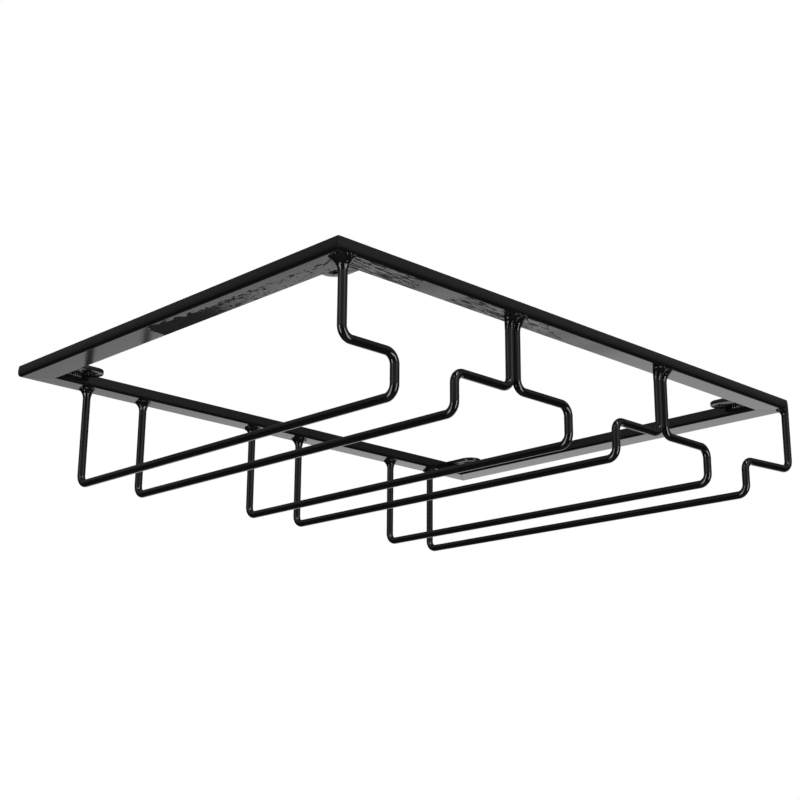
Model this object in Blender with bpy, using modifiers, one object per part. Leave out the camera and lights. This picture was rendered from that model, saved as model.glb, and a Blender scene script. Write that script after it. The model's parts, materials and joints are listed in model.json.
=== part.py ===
"""Hanging wine glass rack: a welded flat-bar frame that carries six bent wires in three glass channels.

The rack is screwed to the underside of a shelf through four tabs. Its frame lies against the shelf, and each
pair of wires makes a slot that holds glasses by the foot. Metres, +Z up, X across the channels, and -Y is the
open side where glasses slide in. The origin is the centre of the plane where the frame meets the shelf.
"""
import math

import bmesh
import bpy
from mathutils import Vector

# The frame of four flat bars, mitred at the corners
FRAME_WIDTH = 0.330
FRAME_DEPTH = 0.245
END_BAR_WIDTH = 0.013
SIDE_BAR_WIDTH = 0.0155
BAR_THICKNESS = 0.006
BAR_EDGE_ROUND = 0.0004

# The bent wires
CHANNEL_COUNT = 3
WIRE_DIAMETER = 0.004
RAIL_SPACING = 0.035
RAIL_DROP = 0.051
LIP_RISE = 0.018
BEND_RADIUS = 0.005
BACK_LEG_SETBACK = 0.006
FRONT_LEG_SETBACK = 0.0065
LEFT_CORNER_LEG_INSET = 0.0085
RIGHT_CORNER_LEG_INSET = 0.002

# The screw tabs in the frame's inner corners
TAB_WIDTH = 0.0135
TAB_LENGTH = 0.021
TAB_THICKNESS = 0.002
SCREW_HOLE_DIAMETER = 0.0045

# The weld beads
LEG_WELD_REACH = 0.0018
LEG_WELD_HEIGHT = 0.0032
LEG_WELD_LIP = 0.0003
TAB_WELD_SIZE = 0.002
TAB_WELD_START = 0.003
TAB_WELD_FINISH = 0.0015
CORNER_WELD_SIZE = 0.0025

# Fits and counts
JOINT_GAP = 0.0003
CUT_OVERRUN = 0.002
BEND_STEPS = 5
ROUND_END_STEPS = 10
HOLE_STEPS = 20
BEAD_STEPS = 16
BEAD_PROFILE_STEPS = 4
WIRE_BEVEL_RESOLUTION = 2
EDGE_SEGMENTS = 2
WELD_DISTANCE = 0.00001
SMOOTH_ANGLE = math.radians(35.0)

# Worked out from the sizes above
WIRE_RADIUS = WIRE_DIAMETER / 2
HALF_WIDTH = FRAME_WIDTH / 2
HALF_DEPTH = FRAME_DEPTH / 2
CHANNEL_PITCH = FRAME_WIDTH / CHANNEL_COUNT
BAR_UNDERSIDE = -BAR_THICKNESS
LEG_TOP = BAR_UNDERSIDE - JOINT_GAP
RAIL_LEVEL = BAR_UNDERSIDE - RAIL_DROP
JOG_LEVEL = RAIL_LEVEL + LIP_RISE
FRONT_LEG_Y = -HALF_DEPTH + FRONT_LEG_SETBACK
BACK_LEG_Y = HALF_DEPTH - BACK_LEG_SETBACK
BEAD_BORE = WIRE_RADIUS + JOINT_GAP
BEAD_RADIUS = BEAD_BORE + LEG_WELD_LIP + LEG_WELD_REACH
TAB_END_RADIUS = TAB_WIDTH / 2
TAB_WELD_LENGTH = TAB_LENGTH - TAB_END_RADIUS - TAB_WELD_START - TAB_WELD_FINISH
INNER_X = HALF_WIDTH - SIDE_BAR_WIDTH - JOINT_GAP
INNER_Y = HALF_DEPTH - END_BAR_WIDTH - JOINT_GAP


def clear_scene():
    """Remove every object of the open file."""
    for item in list(bpy.data.objects):
        bpy.data.objects.remove(item, do_unlink=True)


def new_collection(name):
    """Add a collection to the scene."""
    group = bpy.data.collections.new(name)
    bpy.context.scene.collection.children.link(group)
    return group


def paint(name, colour, roughness):
    """A coat of gloss paint on steel."""
    material = bpy.data.materials.new(name)
    material.use_nodes = True
    shader = material.node_tree.nodes["Principled BSDF"]
    shader.inputs["Base Color"].default_value = (*colour, 1.0)
    shader.inputs["Roughness"].default_value = roughness
    shader.inputs["Metallic"].default_value = 0.0
    material.diffuse_color = (*colour, 1.0)
    return material


def place_mesh(name, mesh, group, material, parent=None):
    """Make an object of a finished mesh, shaded smooth except at its sharp edges."""
    item = bpy.data.objects.new(name, mesh)
    group.objects.link(item)
    mesh.materials.clear()
    mesh.materials.append(material)
    mesh.shade_smooth()
    mesh.set_sharp_from_angle(angle=SMOOTH_ANGLE)
    item.parent = parent
    return item


def mesh_of_curve(item):
    """Turn a curve object into a mesh with its caps welded on, and remove the curve."""
    depsgraph = bpy.context.evaluated_depsgraph_get()
    mesh = bpy.data.meshes.new_from_object(item.evaluated_get(depsgraph))
    mesh.transform(item.matrix_world)
    curve = item.data
    bpy.data.objects.remove(item, do_unlink=True)
    bpy.data.curves.remove(curve)
    work = bmesh.new()
    work.from_mesh(mesh)
    bmesh.ops.remove_doubles(work, verts=work.verts, dist=WELD_DISTANCE)
    bmesh.ops.recalc_face_normals(work, faces=work.faces)
    work.to_mesh(mesh)
    work.free()
    return mesh


def add_spline(curve, points, cyclic):
    """Add one straight-run spline through the points."""
    spline = curve.splines.new("POLY")
    spline.points.add(len(points) - 1)
    for vertex, point in zip(spline.points, points):
        vertex.co = (*point, 1.0)
    spline.use_cyclic_u = cyclic


def plate_mesh(name, outlines, thickness, top):
    """A flat plate of the given outlines, the first one outside and the others holes, with its top at a height."""
    curve = bpy.data.curves.new(name, "CURVE")
    curve.dimensions = "2D"
    curve.fill_mode = "BOTH"
    curve.extrude = thickness / 2
    for outline in outlines:
        add_spline(curve, [(x, y, 0.0) for x, y in outline], cyclic=True)
    item = bpy.data.objects.new(name, curve)
    bpy.context.scene.collection.objects.link(item)
    item.location.z = top - thickness / 2
    bpy.context.view_layer.update()
    return mesh_of_curve(item)


def wire_mesh(name, points):
    """A round wire along the points, with flat closed ends."""
    curve = bpy.data.curves.new(name, "CURVE")
    curve.dimensions = "3D"
    curve.bevel_depth = WIRE_RADIUS
    curve.bevel_resolution = WIRE_BEVEL_RESOLUTION
    curve.use_fill_caps = True
    add_spline(curve, points, cyclic=False)
    item = bpy.data.objects.new(name, curve)
    bpy.context.scene.collection.objects.link(item)
    bpy.context.view_layer.update()
    return mesh_of_curve(item)


def round_edges(item, size):
    """Round the long edges of a bar."""
    bevel = item.modifiers.new("edge_round", "BEVEL")
    bevel.width = size
    bevel.segments = EDGE_SEGMENTS
    bevel.limit_method = "ANGLE"
    bevel.angle_limit = SMOOTH_ANGLE


def rounded_route(corners, radius):
    """The corner points of a bent wire with a quarter arc put in at each bend."""
    route = [Vector(corners[0])]
    for before, corner, after in zip(corners, corners[1:], corners[2:]):
        corner = Vector(corner)
        inward = Vector(before) - corner
        outward = Vector(after) - corner
        reach = min(radius, inward.length / 2, outward.length / 2)
        first = inward.normalized()
        second = outward.normalized()
        centre = corner + (first + second) * reach
        for step in range(BEND_STEPS + 1):
            turn = math.pi / 2 * step / BEND_STEPS
            route.append(centre - second * (reach * math.cos(turn)) - first * (reach * math.sin(turn)))
    route.append(Vector(corners[-1]))
    return [tuple(point) for point in route]


def side_of(turn):
    """The half width and half depth directions of a quarter turn, as a pair of signs."""
    return round(math.cos(turn)), round(math.sin(turn))


def make_frame_bars(group, material, parent):
    """Four flat bars, each a trapezoid with mitred ends, a joint gap short of its neighbours."""
    seam_length = math.hypot(END_BAR_WIDTH, SIDE_BAR_WIDTH)
    mitre_slack = JOINT_GAP * seam_length / (END_BAR_WIDTH + SIDE_BAR_WIDTH)
    end_bar = (HALF_WIDTH, HALF_DEPTH, END_BAR_WIDTH, SIDE_BAR_WIDTH)
    side_bar = (HALF_DEPTH, HALF_WIDTH, SIDE_BAR_WIDTH, END_BAR_WIDTH)
    spans = {
        "front_bar": (end_bar, math.radians(0.0)),
        "right_bar": (side_bar, math.radians(90.0)),
        "back_bar": (end_bar, math.radians(180.0)),
        "left_bar": (side_bar, math.radians(270.0)),
    }
    for name, ((half_length, distance, width, next_width), turn) in spans.items():
        outer = half_length - mitre_slack
        inner = outer - next_width
        outline = [(-outer, -distance), (outer, -distance),
                   (inner, -distance + width), (-inner, -distance + width)]
        cosine, sine = side_of(turn)
        outline = [(x * cosine - y * sine, x * sine + y * cosine) for x, y in outline]
        mesh = plate_mesh(name, [outline], BAR_THICKNESS, 0.0)
        bar = place_mesh(name, mesh, group, material, parent)
        round_edges(bar, BAR_EDGE_ROUND)


def leg_positions():
    """Each wire's rail place across the rack, its front leg's place, and whether that leg is at a corner."""
    places = []
    for channel in range(CHANNEL_COUNT):
        centre = -HALF_WIDTH + CHANNEL_PITCH * (channel + 0.5)
        for side in (-1, 1):
            rail_x = centre + side * RAIL_SPACING / 2
            leg_x = centre + side * (CHANNEL_PITCH / 2 - WIRE_RADIUS - JOINT_GAP / 2)
            leg = (leg_x, FRONT_LEG_Y)
            at_corner = (channel, side) in ((0, -1), (CHANNEL_COUNT - 1, 1))
            if at_corner and side < 0:
                leg = (-HALF_WIDTH + LEFT_CORNER_LEG_INSET, FRONT_LEG_Y)
            elif at_corner:
                leg = (HALF_WIDTH - RIGHT_CORNER_LEG_INSET, -HALF_DEPTH + RIGHT_CORNER_LEG_INSET)
            places.append((rail_x, leg, at_corner))
    return places


def make_wires(group, material, parent):
    """Six wires: down at the back, along as a rail, up over the lip, sideways, and up to the front bar."""
    for number, (rail_x, leg, _) in enumerate(leg_positions(), start=1):
        corners = [
            (rail_x, BACK_LEG_Y, LEG_TOP),
            (rail_x, BACK_LEG_Y, RAIL_LEVEL),
            (rail_x, FRONT_LEG_Y, RAIL_LEVEL),
            (rail_x, FRONT_LEG_Y, JOG_LEVEL),
            (*leg, JOG_LEVEL),
            (*leg, LEG_TOP),
        ]
        name = f"rail_wire_{number}"
        place_mesh(name, wire_mesh(name, rounded_route(corners, BEND_RADIUS)), group, material, parent)


def make_tabs(group, material, parent):
    """Four screw tabs, flush with the frame's top face. Each lies against one bar, its butt end against another."""
    straight = TAB_LENGTH - TAB_END_RADIUS
    body = [(0.0, 0.0), (TAB_WIDTH, 0.0)]
    for step in range(ROUND_END_STEPS + 1):
        turn = math.pi * step / ROUND_END_STEPS
        body.append((TAB_END_RADIUS + TAB_END_RADIUS * math.cos(turn), straight + TAB_END_RADIUS * math.sin(turn)))
    hole = []
    for step in range(HOLE_STEPS):
        turn = 2 * math.pi * step / HOLE_STEPS
        hole.append((TAB_END_RADIUS + SCREW_HOLE_DIAMETER / 2 * math.cos(turn),
                     straight + SCREW_HOLE_DIAMETER / 2 * math.sin(turn)))
    corners = {
        "front_left": (-1, -1, False),
        "front_right": (1, -1, False),
        "back_right": (1, 1, False),
        "back_left": (-1, 1, True),
    }
    for name, (side_x, side_y, across) in corners.items():
        outlines = []
        for outline in (body, hole):
            turned = [(y, x) if across else (x, y) for x, y in outline]
            outlines.append([(side_x * (INNER_X - x), side_y * (INNER_Y - y)) for x, y in turned])
        mesh = plate_mesh(f"{name}_tab", outlines, TAB_THICKNESS, 0.0)
        place_mesh(f"{name}_tab", mesh, group, material, parent)
        make_tab_weld(name, side_x, side_y, across, group, material, parent)


def fillet_mesh(name, length, size):
    """A weld fillet along +Y: its two flat legs lie on the planes X = 0 and Z = 0, and its face is hollow."""
    section = [(0.0, 0.0)]
    for step in range(BEAD_PROFILE_STEPS + 1):
        turn = math.pi / 2 * step / BEAD_PROFILE_STEPS
        section.append((size - size * math.sin(turn), size * math.cos(turn) - size))
    curve = bpy.data.curves.new(name, "CURVE")
    curve.dimensions = "2D"
    curve.fill_mode = "BOTH"
    curve.extrude = length / 2
    add_spline(curve, [(x, z, 0.0) for x, z in section], cyclic=True)
    item = bpy.data.objects.new(name, curve)
    bpy.context.scene.collection.objects.link(item)
    item.rotation_euler.x = math.radians(90.0)
    item.location.y = length / 2
    bpy.context.view_layer.update()
    return mesh_of_curve(item)


def make_tab_weld(corner, side_x, side_y, across, group, material, parent):
    """The fillet under a tab, in the angle between the tab and the bar that it lies against."""
    mesh = fillet_mesh(f"{corner}_tab_weld", TAB_WELD_LENGTH, TAB_WELD_SIZE)
    for vertex in mesh.vertices:
        x = vertex.co.x
        y = vertex.co.y + TAB_WELD_START
        if across:
            x, y = y, x
        vertex.co.x = side_x * (INNER_X - x)
        vertex.co.y = side_y * (INNER_Y - y)
        vertex.co.z -= TAB_THICKNESS + JOINT_GAP
    face_outwards(mesh)
    place_mesh(f"{corner}_tab_weld", mesh, group, material, parent)


def make_corner_welds(group, material, parent):
    """Four fillets that stand in the frame's inner corners, under the tabs, and join each two bars."""
    height = BAR_THICKNESS - TAB_THICKNESS - JOINT_GAP
    top = -TAB_THICKNESS - JOINT_GAP
    outline = [(0.0, 0.0)]
    for step in range(BEAD_PROFILE_STEPS + 1):
        turn = math.pi / 2 * step / BEAD_PROFILE_STEPS
        outline.append((CORNER_WELD_SIZE - CORNER_WELD_SIZE * math.sin(turn),
                        CORNER_WELD_SIZE - CORNER_WELD_SIZE * math.cos(turn)))
    for name, side_x, side_y in (("front_left", -1, -1), ("front_right", 1, -1),
                                 ("back_right", 1, 1), ("back_left", -1, 1)):
        placed = [(side_x * (INNER_X - x), side_y * (INNER_Y - y)) for x, y in outline]
        mesh = plate_mesh(f"{name}_corner_weld", [placed], height, top)
        place_mesh(f"{name}_corner_weld", mesh, group, material, parent)


def face_outwards(mesh):
    """Point every face of a closed mesh outwards."""
    work = bmesh.new()
    work.from_mesh(mesh)
    bmesh.ops.recalc_face_normals(work, faces=work.faces)
    work.to_mesh(mesh)
    work.free()


def bead_solid(name, group, material, x, y, bore):
    """One turned weld bead under a bar: a hollow-faced skirt round a wire, or its bore as a plug to cut with."""
    top = LEG_TOP if not bore else LEG_TOP + CUT_OVERRUN
    bottom = LEG_TOP - LEG_WELD_HEIGHT if not bore else LEG_TOP - LEG_WELD_HEIGHT - CUT_OVERRUN
    profile = [(0.0, top)]
    if bore:
        profile += [(BEAD_BORE, top), (BEAD_BORE, bottom)]
    else:
        for step in range(BEAD_PROFILE_STEPS + 1):
            turn = math.pi / 2 * step / BEAD_PROFILE_STEPS
            radius = BEAD_BORE + LEG_WELD_LIP + LEG_WELD_REACH * (1 - math.sin(turn))
            profile.append((radius, top - LEG_WELD_HEIGHT * (1 - math.cos(turn))))
    profile.append((0.0, bottom))
    mesh = bpy.data.meshes.new(name)
    mesh.from_pydata([(radius, 0.0, z) for radius, z in profile],
                     [(index, index + 1) for index in range(len(profile) - 1)], [])
    item = place_mesh(name, mesh, group, material)
    item.location = (x, y, 0.0)
    if bore:
        item.rotation_euler.z = math.pi / BEAD_STEPS
    screw = item.modifiers.new("turn", "SCREW")
    screw.steps = BEAD_STEPS
    screw.render_steps = BEAD_STEPS
    screw.use_merge_vertices = True
    screw.merge_threshold = WELD_DISTANCE
    return item


def cut(item, operation, tool):
    """Combine a piece with a tool that stays hidden."""
    step = item.modifiers.new(operation.lower(), "BOOLEAN")
    step.operation = operation
    step.object = tool
    step.solver = "EXACT"


def bead_space(name, group, material, low, high):
    """A block of the space that the beads fill under the bars, between two corner points of a plan."""
    outline = [low, (high[0], low[1]), high, (low[0], high[1])]
    mesh = plate_mesh(name, [outline], LEG_WELD_HEIGHT + CUT_OVERRUN * 2, LEG_TOP + CUT_OVERRUN)
    return place_mesh(name, mesh, group, material)


def make_leg_welds(group, tools, material, parent):
    """A bead round the top of each back leg and corner leg, and one round each touching pair of front legs.

    No bead stands out past the bars. The right corner's leg stands at the very tip, so its bead is left open there.
    """
    outline = bead_space("outline", tools, material, (-HALF_WIDTH, -HALF_DEPTH), (HALF_WIDTH, HALF_DEPTH))
    back = []
    corner = []
    paired = []
    for number, (rail_x, leg, at_corner) in enumerate(leg_positions(), start=1):
        back.append((f"back_leg_weld_{number}", [(rail_x, BACK_LEG_Y)]))
        if at_corner:
            corner.append((f"corner_leg_weld_{len(corner) + 1}", [leg]))
        else:
            paired.append(leg)
    pairs = [(f"leg_pair_weld_{index // 2 + 1}", paired[index:index + 2]) for index in range(0, len(paired), 2)]
    for name, legs in back + corner + pairs:
        bead = bead_solid(name, group, material, *legs[0], bore=False)
        bead.parent = parent
        for index, leg in enumerate(legs[1:], start=1):
            cut(bead, "UNION", bead_solid(f"{name}_skirt_{index}", tools, material, *leg, bore=False))
        past_side = max(abs(x) for x, _ in legs) + BEAD_RADIUS > HALF_WIDTH
        past_end = max(abs(y) for _, y in legs) + BEAD_RADIUS > HALF_DEPTH
        if past_side or past_end:
            cut(bead, "INTERSECT", outline)
        if past_side and past_end:
            leg_x, leg_y = legs[0]
            low = (leg_x, -HALF_DEPTH - CUT_OVERRUN)
            high = (HALF_WIDTH + CUT_OVERRUN, leg_y)
            cut(bead, "DIFFERENCE", bead_space(f"{name}_tip", tools, material, low, high))
        for index, leg in enumerate(legs):
            cut(bead, "DIFFERENCE", bead_solid(f"{name}_bore_{index}", tools, material, *leg, bore=True))


def hide_tools(tools):
    """Show the cutters as outlines only."""
    for item in tools.objects:
        item.hide_render = True
        item.display_type = "WIRE"


def main():
    """Build the rack."""
    clear_scene()
    rack = new_collection("wine_glass_rack")
    tools = new_collection("cutters")
    frame_paint = paint("frame_paint", (0.012, 0.012, 0.013), 0.22)
    wire_paint = paint("wire_paint", (0.014, 0.014, 0.015), 0.16)
    tab_paint = paint("tab_paint", (0.013, 0.013, 0.014), 0.25)
    weld_paint = paint("weld_paint", (0.010, 0.010, 0.011), 0.12)
    centre = bpy.data.objects.new("rack_centre", None)
    rack.objects.link(centre)
    make_frame_bars(rack, frame_paint, centre)
    make_wires(rack, wire_paint, centre)
    make_tabs(rack, tab_paint, centre)
    make_corner_welds(rack, weld_paint, centre)
    make_leg_welds(rack, tools, weld_paint, centre)
    hide_tools(tools)
    bpy.context.view_layer.update()


if __name__ == "__main__":
    main()
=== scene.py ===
"""Dresses a hanging wine glass rack: gloss black paint on welded flat bar, bent wire, screw tabs and beads.

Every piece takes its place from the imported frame. Metres, +Z up to the shelf, -Y towards the open front.
"""

import json
import logging
import math
from collections.abc import Callable, Sequence
from dataclasses import dataclass, replace
from enum import Enum
from functools import cached_property

import bmesh
import bpy
from mathutils import Matrix, Vector

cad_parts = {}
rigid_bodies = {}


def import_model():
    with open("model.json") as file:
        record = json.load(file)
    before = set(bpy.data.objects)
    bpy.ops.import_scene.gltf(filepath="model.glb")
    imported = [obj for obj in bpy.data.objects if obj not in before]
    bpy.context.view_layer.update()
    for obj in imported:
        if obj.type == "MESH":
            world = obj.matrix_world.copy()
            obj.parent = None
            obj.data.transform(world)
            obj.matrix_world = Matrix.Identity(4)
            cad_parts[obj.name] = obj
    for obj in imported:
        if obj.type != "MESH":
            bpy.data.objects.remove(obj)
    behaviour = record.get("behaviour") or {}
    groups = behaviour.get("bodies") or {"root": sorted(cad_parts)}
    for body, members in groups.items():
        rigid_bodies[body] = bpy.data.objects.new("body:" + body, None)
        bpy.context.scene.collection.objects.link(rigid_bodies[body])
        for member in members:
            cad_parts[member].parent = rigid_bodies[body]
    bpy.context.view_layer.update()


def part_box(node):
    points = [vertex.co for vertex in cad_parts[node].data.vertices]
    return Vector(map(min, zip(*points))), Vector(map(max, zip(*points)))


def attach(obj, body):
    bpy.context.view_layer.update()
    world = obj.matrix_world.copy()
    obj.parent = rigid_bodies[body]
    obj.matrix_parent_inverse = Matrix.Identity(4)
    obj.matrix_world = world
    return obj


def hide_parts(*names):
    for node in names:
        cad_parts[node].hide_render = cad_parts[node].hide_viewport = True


LOG = logging.getLogger("wine_glass_rack")

MM = 0.001
MICRON = 0.000001
QUARTER = math.radians(90.0)
SMOOTH_ANGLE = math.radians(40.0)
MERGE = 0.001 * MM

Tree = bpy.types.NodeTree
Socket = bpy.types.NodeSocket
Value = Socket | float | Sequence[float]
Piece = bpy.types.Object
Stops = tuple[tuple[float, float], ...]


class Run(Enum):
    """The way that a bar runs, as the axis of its length."""

    ACROSS = 0
    TO_THE_BACK = 1


class Side(Enum):
    """A corner of the frame, as the signs of its X and Y."""

    FRONT_LEFT = (-1, -1)
    FRONT_RIGHT = (1, -1)
    BACK_RIGHT = (1, 1)
    BACK_LEFT = (-1, 1)


def feed(tree: Tree, value: Value, socket: Socket) -> None:
    """Give an input either a link or a plain value.

    Args:
        tree: The node tree.
        value: The output to link from, or the number or numbers to set.
        socket: The input.
    """
    if isinstance(value, Socket):
        tree.links.new(value, socket)
    else:
        socket.default_value = value


def add(tree: Tree, kind: str, inputs: dict[str | int, Value], **settings: object) -> bpy.types.NodeOutputs:
    """Add a node to a tree, set it up and feed it.

    Args:
        tree: The node tree.
        kind: The node's type, without its prefix.
        inputs: What to feed to its inputs, by their names or numbers.
        **settings: The node's properties.

    Returns:
        Its outputs.
    """
    node = tree.nodes.new(f"ShaderNode{kind}")
    for label, value in settings.items():
        setattr(node, label, value)
    for place, value in inputs.items():
        feed(tree, value, node.inputs[place])
    return node.outputs


def calc(tree: Tree, operation: str, *values: Socket | float) -> Socket:
    """Add one sum to a node tree.

    Args:
        tree: The node tree.
        operation: The Math node's operation.
        *values: Its inputs, linked or plain.

    Returns:
        The result's socket.
    """
    return add(tree, "Math", dict(enumerate(values)), operation=operation)[0]


def span(tree: Tree, value: Socket, start: float, end: float, low: float = 0.0, high: float = 1.0) -> Socket:
    """Map a stretch of values onto another, clamped at both ends.

    Args:
        tree: The node tree.
        value: The value to map.
        start: The value that becomes low.
        end: The value that becomes high.
        low: The result at the start.
        high: The result at the end.

    Returns:
        The result's socket.
    """
    given = {"Value": value, "From Min": start, "From Max": end, "To Min": low, "To Max": high}
    return add(tree, "MapRange", given)["Result"]


def ramp(tree: Tree, value: Socket, stops: Stops, start: float = -1.0, end: float = 1.0) -> Socket:
    """Read a value off a line through a few stops.

    Args:
        tree: The node tree.
        value: The value to look up.
        stops: Pairs of a place between start and end, and the result there.
        start: The value at the ramp's left end.
        end: The value at its right end.

    Returns:
        The result's socket.
    """
    node = tree.nodes.new("ShaderNodeValToRGB")
    elements = node.color_ramp.elements
    while len(elements) < len(stops):
        elements.new(0.5)
    for element, (place, result) in zip(elements, stops):
        element.position = (place - start) / (end - start)
        element.color = (result, result, result, 1.0)
    feed(tree, span(tree, value, start, end), node.inputs["Fac"])
    return node.outputs["Color"]


def mix(tree: Tree, factor: Socket, first: Value, second: Value, kind: str = "FLOAT") -> Socket:
    """Mix two numbers or two colours.

    Args:
        tree: The node tree.
        factor: How much of the second there is.
        first: The first number or colour.
        second: The second one.
        kind: The Mix node's type of data.

    Returns:
        The result's socket.
    """
    return add(tree, "Mix", {"Factor": factor, "A": first, "B": second}, data_type=kind)["Result"]


def noise(tree: Tree, place: Socket, scale: Socket | float, detail: float, swirl: float = 0.0) -> Socket:
    """Add a noise texture.

    Args:
        tree: The node tree.
        place: The vector that it reads.
        scale: Its scale.
        detail: Its layers of finer detail.
        swirl: How far it is distorted.

    Returns:
        The noise's value, from 0 to 1.
    """
    given = {"Vector": place, "Scale": scale, "Detail": detail, "Distortion": swirl}
    return add(tree, "TexNoise", given)["Fac"]


@dataclass
class EffectLibrary:
    """The shader groups that several finishes share, each built once, and the numbers that shape them."""

    peel_detail: float = 2.0
    ragged_rate_share: float = 0.5
    ragged_detail: float = 4.0
    ragged_range: tuple[float, float] = (0.3, 0.7)
    jag: float = 0.13
    jag_start: float = 0.1
    edge_fade: float = 0.06
    rim_width: float = 0.1
    rim_density: float = 1.7
    inner_rim: tuple[float, float] = (0.02, 0.1)
    inner_rim_density: float = 0.7
    flake_detail: float = 5.0
    flake_swirl: float = 0.5
    flake_threshold: float = 0.61
    threshold_per_density: float = -0.16
    flake_edge: float = 0.05
    tone_scale: float = 60.0
    tone_detail: float = 3.0
    speck_scale: float = 260.0
    speck_edge: tuple[float, float] = (0.02, 0.045)

    @staticmethod
    def open_group(name: str, inputs: dict[str, str], outputs: dict[str, str]) -> Tree:
        """Open a group with named sockets.

        Args:
            name: The group's name.
            inputs: Each input's kind of socket.
            outputs: Each output's kind of socket.

        Returns:
            The group, with its input and output nodes placed.
        """
        group = bpy.data.node_groups.new(name, "ShaderNodeTree")
        for way_through, sockets in (("INPUT", inputs), ("OUTPUT", outputs)):
            for label, kind in sockets.items():
                group.interface.new_socket(label, in_out=way_through, socket_type=f"NodeSocket{kind}")
        group.nodes.new("NodeGroupInput").name = "in"
        group.nodes.new("NodeGroupOutput").name = "out"
        return group

    @cached_property
    def orange_peel(self) -> Tree:
        """The slow dimples of sprayed gloss paint, as a height in metres.

        Returns:
            The shader group.
        """
        group = self.open_group("orange_peel", {"Vector": "Vector", "Size": "Float", "Depth": "Float"},
                                {"Height": "Float"})
        given = group.nodes["in"].outputs
        dimples = noise(group, given["Vector"], calc(group, "DIVIDE", 1.0, given["Size"]), self.peel_detail)
        feed(group, calc(group, "MULTIPLY", dimples, given["Depth"]), group.nodes["out"].inputs["Height"])
        return group

    @cached_property
    def mill_scale(self) -> Tree:
        """Flakes and streaks of mill scale with a ragged edge, as a mask and a height in metres.

        Share is how much of the bar's width is scaled from the inner edge. Across is the place over the
        width, from 0 at the inner edge. Density is how thick the flakes lie. Fill is how dull the paint is
        between them where they lie thickest.

        Returns:
            The shader group.
        """
        numbers = ("Share", "Across", "Flake", "Density", "Fill", "Depth", "Underside")
        group = self.open_group(
            "mill_scale", {"Vector": "Vector", "Stretch": "Vector", **dict.fromkeys(numbers, "Float")},
            {"Mask": "Float", "Height": "Float"})
        given = group.nodes["in"].outputs
        out = group.nodes["out"].inputs
        rate = calc(group, "DIVIDE", 1.0, given["Flake"])
        place = add(group, "VectorMath", {0: given["Vector"], 1: given["Stretch"]}, operation="MULTIPLY")[0]
        ragged_rate = calc(group, "MULTIPLY", rate, self.ragged_rate_share)
        ragged = noise(group, place, ragged_rate, self.ragged_detail)
        jag = calc(group, "MULTIPLY", span(group, ragged, *self.ragged_range, -self.jag, self.jag),
                   span(group, given["Share"], 0.0, self.jag_start))
        edge = calc(group, "ADD", calc(group, "SUBTRACT", given["Share"], given["Across"]), jag)
        inner_rim = span(group, given["Across"], *self.inner_rim, self.inner_rim_density, 0.0)
        rim = calc(group, "ADD", span(group, edge, 0.0, self.rim_width, self.rim_density, 0.0),
                   calc(group, "MULTIPLY", given["Fill"], inner_rim))
        threshold = calc(group, "MULTIPLY_ADD", calc(group, "ADD", given["Density"], rim),
                         self.threshold_per_density, self.flake_threshold)
        speckle = noise(group, place, rate, self.flake_detail, self.flake_swirl)
        flakes = span(group, calc(group, "SUBTRACT", speckle, threshold), 0.0, self.flake_edge)
        level = add(group, "SeparateXYZ", {0: given["Vector"]})["Z"]
        below = calc(group, "LESS_THAN", level, given["Underside"])
        inside = calc(group, "MULTIPLY", span(group, edge, 0.0, self.edge_fade), below)
        height = calc(group, "MULTIPLY", calc(group, "MULTIPLY", flakes, inside), given["Depth"])
        feed(group, height, out["Height"])
        dense = calc(group, "MULTIPLY", given["Density"], given["Density"])
        fill = calc(group, "MULTIPLY", given["Fill"], dense)
        feed(group, calc(group, "MULTIPLY", calc(group, "MAXIMUM", flakes, fill), inside), out["Mask"])
        return group

    @cached_property
    def paint_tone(self) -> Tree:
        """Slow changes of the paint's tone and a few fine dust specks, as a colour.

        Returns:
            The shader group.
        """
        group = self.open_group("paint_tone", {"Vector": "Vector", "Thin": "Color", "Full": "Color",
                                               "Speck": "Color"}, {"Color": "Color"})
        given = group.nodes["in"].outputs
        slow = noise(group, given["Vector"], self.tone_scale, self.tone_detail)
        tone = mix(group, slow, given["Thin"], given["Full"], "RGBA")
        grit = add(group, "TexVoronoi", {"Vector": given["Vector"], "Scale": self.speck_scale})["Distance"]
        speck = span(group, grit, *self.speck_edge, 1.0, 0.0)
        feed(group, mix(group, speck, tone, given["Speck"], "RGBA"), group.nodes["out"].inputs["Color"])
        return group


@dataclass(frozen=True)
class ScalePatch:
    """Mill scale under the paint of a bar's underside: where it lies, how dense it is, and its flakes."""

    run: Run
    inner_line: float
    outer_line: float
    underside: float
    shares: Stops
    density: Stops
    flake: float
    stretch: float
    depth: float
    fill: float
    rough: float


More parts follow.
